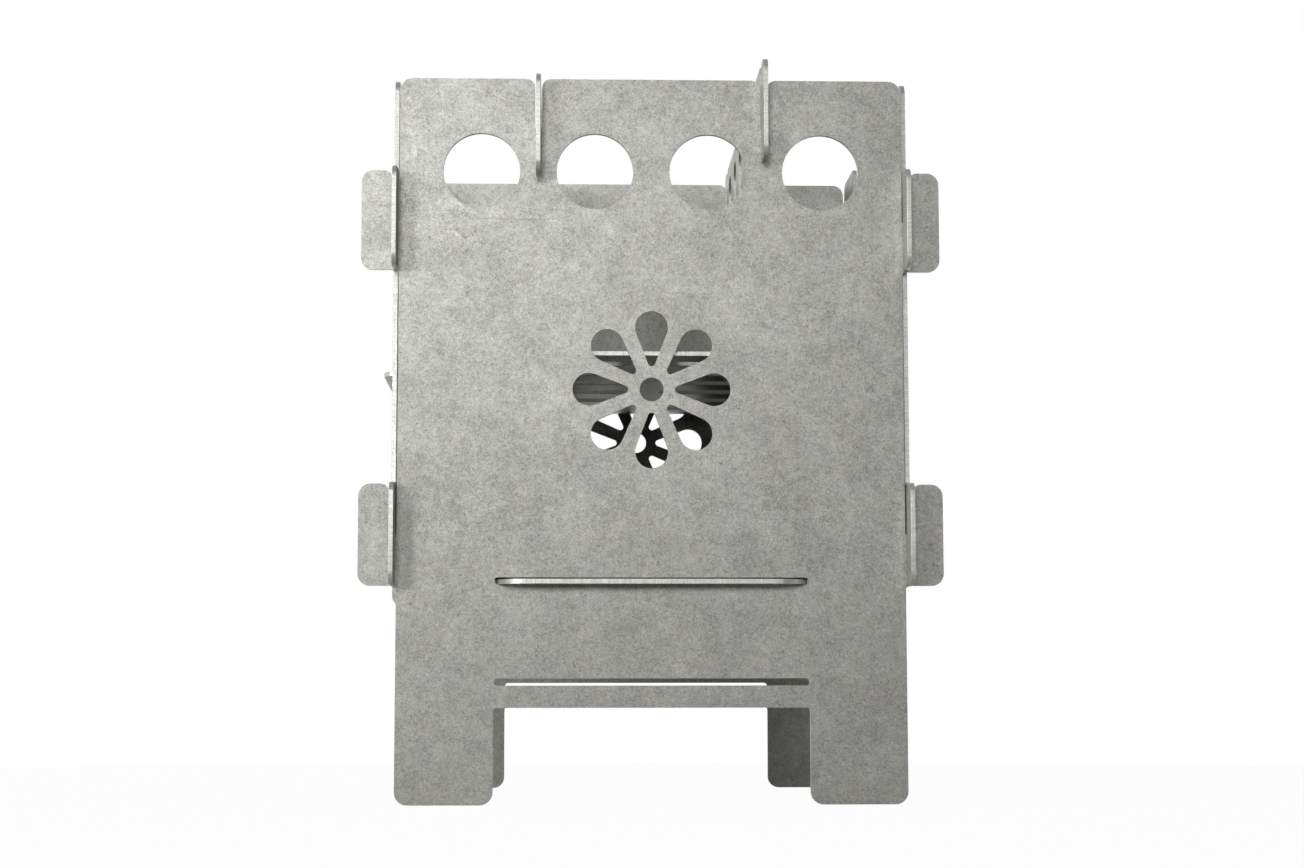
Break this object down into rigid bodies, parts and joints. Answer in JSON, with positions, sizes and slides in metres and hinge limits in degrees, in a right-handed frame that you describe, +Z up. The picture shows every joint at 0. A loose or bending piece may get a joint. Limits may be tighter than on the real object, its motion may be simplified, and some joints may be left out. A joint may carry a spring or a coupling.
{
  "type": "folding wood stove",
  "caption": "Slot-together wood stove of flat steel plates with lift-out pot supports, slotted fire grate and ash plate.",
  "frame": {"origin": "on the ground under the middle of the stove", "axes": "+Z up, +X to the right as seen from the front, front panel towards -Y"},
  "size_m": [0.184, 0.1834, 0.2353],
  "materials": {
    "tumbled_steel": "matt tumbled stainless sheet with a fine mottled grain and brighter cut edges"
  },
  "bodies": {
    "frame": {"front_panel": "tumbled_steel", "back_panel": "tumbled_steel", "ash_plate": "tumbled_steel"},
    "left_side": {"left_side_panel": "tumbled_steel"},
    "right_side": {"right_side_panel": "tumbled_steel"},
    "grate": {"fire_grate": "tumbled_steel"},
    "left_support": {"left_pot_support": "tumbled_steel"},
    "right_support": {"right_pot_support": "tumbled_steel"}
  },
  "joints": [
    {"name": "left_side_lift", "type": "slide", "parent": "frame", "child": "left_side", "axis": [0, 0, 1], "range_m": [0, 0.02]},
    {"name": "right_side_lift", "type": "slide", "parent": "frame", "child": "right_side", "axis": [0, 0, 1], "range_m": [0, 0.02]},
    {"name": "grate_lift", "type": "slide", "parent": "frame", "child": "grate", "axis": [0, 0, 1], "range_m": [0, 0.02]},
    {"name": "left_support_lift", "type": "slide", "parent": "frame", "child": "left_support", "axis": [0, 0, 1], "range_m": [0, 0.04]},
    {"name": "right_support_lift", "type": "slide", "parent": "frame", "child": "right_support", "axis": [0, 0, 1], "range_m": [0, 0.04]}
  ],
  "couplings": [
    {"joint": "right_side_lift", "follows": "left_side_lift", "ratio": 1},
    {"joint": "grate_lift", "follows": "left_side_lift", "ratio": 1}
  ]
}
